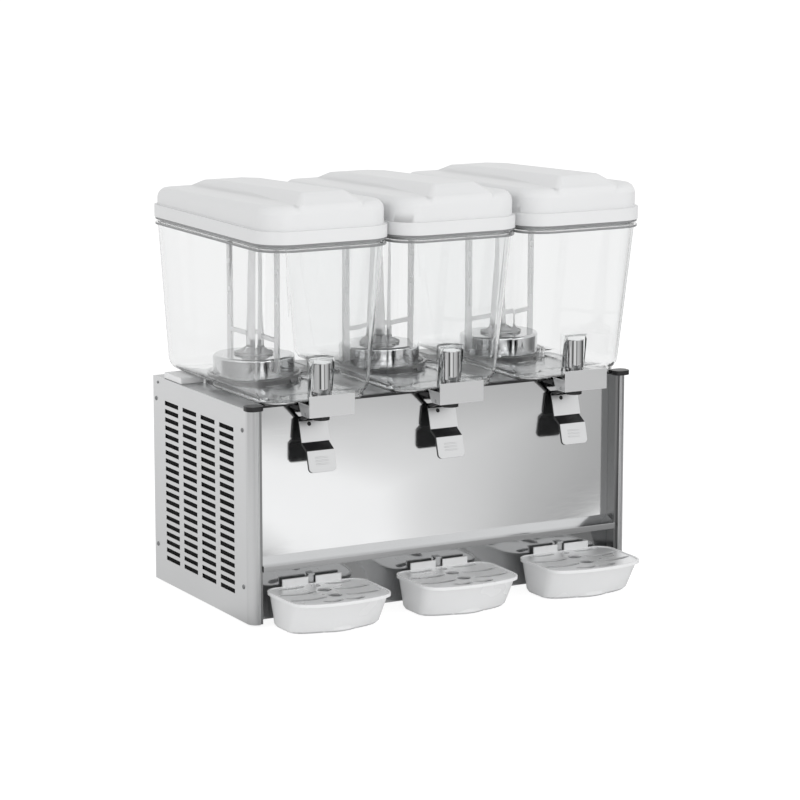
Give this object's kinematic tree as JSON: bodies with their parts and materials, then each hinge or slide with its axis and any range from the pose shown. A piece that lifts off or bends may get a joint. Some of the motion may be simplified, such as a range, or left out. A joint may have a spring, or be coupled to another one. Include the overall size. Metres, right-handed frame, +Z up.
{
  "type": "cold drink dispenser",
  "caption": "Counter-top cold drink dispenser: clear bowls with white lids and stirring paddles over a steel cabinet, push-lever taps and white drip trays in front",
  "frame": {"origin": "middle of the whole outline, on the table the feet stand on", "axes": "+X to the right seen from the front, +Y to the back, +Z up"},
  "size_m": [0.618, 0.4376, 0.6049],
  "materials": {
    "mirror_steel": "polished",
    "satin_steel": "satin",
    "galvanised_sheet": "dull",
    "post_aluminium": "satin anodised",
    "black_plastic": "fine grain",
    "white_plastic": "gloss",
    "clear_plastic": "clear",
    "milky_plastic": "translucent",
    "bright_chrome": "polished",
    "spring_steel": "drawn",
    "black_rubber": "matt",
    "grey_rubber": "matt",
    "motor_paint": "satin",
    "compressor_paint": "gloss",
    "fin_aluminium": "mill"
  },
  "bodies": {
    "cabinet": {"base_pan": "galvanised_sheet", "rubber_feet": "black_rubber", "left_side_panel": "satin_steel", "right_side_panel": "satin_steel", "back_panel": "galvanised_sheet", "front_panel": "mirror_steel", "corner_posts": "post_aluminium", "top_deck": "satin_steel", "deck_trim": "black_plastic", "bowl_clips": "white_plastic", "evaporators": "mirror_steel", "evaporator_gaskets": "grey_rubber", "stir_motors": "motor_paint", "compressor": "compressor_paint", "condenser": "fin_aluminium", "fan_shroud": "galvanised_sheet", "fan_motor": "motor_paint", "cable_gland": "black_plastic", "tray_hangers": "spring_steel"},
    "fan": {"fan_blade": "fin_aluminium"},
    "rocker": {"power_switch": "black_plastic"},
    "bowl_unit_1": {"bowl_1": "clear_plastic", "tap_body_1": "black_plastic", "tap_cap_1": "bright_chrome", "tap_cover_1": "mirror_steel", "tap_spring_1": "spring_steel", "lever_pin_1": "spring_steel"},
    "lid_unit_1": {"lid_1": "white_plastic"},
    "paddle_unit_1": {"paddle_1": "milky_plastic"},
    "lever_unit_1": {"lever_1": "black_plastic", "lever_facing_1": "satin_steel"},
    "piston_unit_1": {"tap_piston_1": "white_plastic"},
    "tray_unit_1": {"tray_1": "white_plastic"},
    "grille_unit_1": {"grille_1": "satin_steel"},
    "bowl_unit_2": {"bowl_2": "clear_plastic", "tap_body_2": "black_plastic", "tap_cap_2": "bright_chrome", "tap_cover_2": "mirror_steel", "tap_spring_2": "spring_steel", "lever_pin_2": "spring_steel"},
    "lid_unit_2": {"lid_2": "white_plastic"},
    "paddle_unit_2": {"paddle_2": "milky_plastic"},
    "lever_unit_2": {"lever_2": "black_plastic", "lever_facing_2": "satin_steel"},
    "piston_unit_2": {"tap_piston_2": "white_plastic"},
    "tray_unit_2": {"tray_2": "white_plastic"},
    "grille_unit_2": {"grille_2": "satin_steel"},
    "bowl_unit_3": {"bowl_3": "clear_plastic", "tap_body_3": "black_plastic", "tap_cap_3": "bright_chrome", "tap_cover_3": "mirror_steel", "tap_spring_3": "spring_steel", "lever_pin_3": "spring_steel"},
    "lid_unit_3": {"lid_3": "white_plastic"},
    "paddle_unit_3": {"paddle_3": "milky_plastic"},
    "lever_unit_3": {"lever_3": "black_plastic", "lever_facing_3": "satin_steel"},
    "piston_unit_3": {"tap_piston_3": "white_plastic"},
    "tray_unit_3": {"tray_3": "white_plastic"},
    "grille_unit_3": {"grille_3": "satin_steel"}
  },
  "joints": [
    {"name": "fan_spin", "type": "hinge", "parent": "cabinet", "child": "fan", "pos_m": [0.15, 0.13725, 0.0965], "axis": [0, 1, 0], "continuous": true},
    {"name": "power_switch_rock", "type": "hinge", "parent": "cabinet", "child": "rocker", "pos_m": [-0.12, 0.20675, 0.264], "axis": [1, 0, 0], "range_deg": [-7, 7]},
    {"name": "bowl_1_lift", "type": "slide", "parent": "cabinet", "child": "bowl_unit_1", "axis": [0, 0, 1], "range_m": [0, 0.16]},
    {"name": "lid_1_lift", "type": "slide", "parent": "bowl_unit_1", "child": "lid_unit_1", "axis": [0, 0, 1], "range_m": [0, 0.1]},
    {"name": "paddle_1_spin", "type": "hinge", "parent": "bowl_unit_1", "child": "paddle_unit_1", "pos_m": [-0.2035, 0.07825, 0.36], "axis": [0, 0, 1], "continuous": true},
    {"name": "lever_1_push", "type": "hinge", "parent": "bowl_unit_1", "child": "lever_unit_1", "pos_m": [-0.2035, -0.15275, 0.302], "axis": [1, 0, 0], "range_deg": [0, 12], "stiffness_Nm_per_rad": 0.15},
    {"name": "tap_piston_1_lift", "type": "slide", "parent": "bowl_unit_1", "child": "piston_unit_1", "axis": [0, 0, 1], "range_m": [0, 0.0048], "deforming": ["tap_spring_1"]},
    {"name": "tray_1_pull", "type": "slide", "parent": "cabinet", "child": "tray_unit_1", "axis": [0, -1, 0], "range_m": [0, 0.12]},
    {"name": "grille_1_lift", "type": "slide", "parent": "tray_unit_1", "child": "grille_unit_1", "axis": [0, 0, 1], "range_m": [0, 0.022]},
    {"name": "bowl_2_lift", "type": "slide", "parent": "cabinet", "child": "bowl_unit_2", "axis": [0, 0, 1], "range_m": [0, 0.16]},
    {"name": "lid_2_lift", "type": "slide", "parent": "bowl_unit_2", "child": "lid_unit_2", "axis": [0, 0, 1], "range_m": [0, 0.1]},
    {"name": "paddle_2_spin", "type": "hinge", "parent": "bowl_unit_2", "child": "paddle_unit_2", "pos_m": [0, 0.07825, 0.36], "axis": [0, 0, 1], "continuous": true},
    {"name": "lever_2_push", "type": "hinge", "parent": "bowl_unit_2", "child": "lever_unit_2", "pos_m": [0, -0.15275, 0.302], "axis": [1, 0, 0], "range_deg": [0, 12], "stiffness_Nm_per_rad": 0.15},
    {"name": "tap_piston_2_lift", "type": "slide", "parent": "bowl_unit_2", "child": "piston_unit_2", "axis": [0, 0, 1], "range_m": [0, 0.0048], "deforming": ["tap_spring_2"]},
    {"name": "tray_2_pull", "type": "slide", "parent": "cabinet", "child": "tray_unit_2", "axis": [0, -1, 0], "range_m": [0, 0.12]},
    {"name": "grille_2_lift", "type": "slide", "parent": "tray_unit_2", "child": "grille_unit_2", "axis": [0, 0, 1], "range_m": [0, 0.022]},
    {"name": "bowl_3_lift", "type": "slide", "parent": "cabinet", "child": "bowl_unit_3", "axis": [0, 0, 1], "range_m": [0, 0.16]},
    {"name": "lid_3_lift", "type": "slide", "parent": "bowl_unit_3", "child": "lid_unit_3", "axis": [0, 0, 1], "range_m": [0, 0.1]},
    {"name": "paddle_3_spin", "type": "hinge", "parent": "bowl_unit_3", "child": "paddle_unit_3", "pos_m": [0.2035, 0.07825, 0.36], "axis": [0, 0, 1], "continuous": true},
    {"name": "lever_3_push", "type": "hinge", "parent": "bowl_unit_3", "child": "lever_unit_3", "pos_m": [0.2035, -0.15275, 0.302], "axis": [1, 0, 0], "range_deg": [0, 12], "stiffness_Nm_per_rad": 0.15},
    {"name": "tap_piston_3_lift", "type": "slide", "parent": "bowl_unit_3", "child": "piston_unit_3", "axis": [0, 0, 1], "range_m": [0, 0.0048], "deforming": ["tap_spring_3"]},
    {"name": "tray_3_pull", "type": "slide", "parent": "cabinet", "child": "tray_unit_3", "axis": [0, -1, 0], "range_m": [0, 0.12]},
    {"name": "grille_3_lift", "type": "slide", "parent": "tray_unit_3", "child": "grille_unit_3", "axis": [0, 0, 1], "range_m": [0, 0.022]}
  ],
  "couplings": [
    {"joint": "tap_piston_1_lift", "follows": "lever_1_push", "m_per_rad": 0.0224},
    {"joint": "tap_piston_2_lift", "follows": "lever_2_push", "m_per_rad": 0.0224},
    {"joint": "tap_piston_3_lift", "follows": "lever_3_push", "m_per_rad": 0.0224}
  ]
}
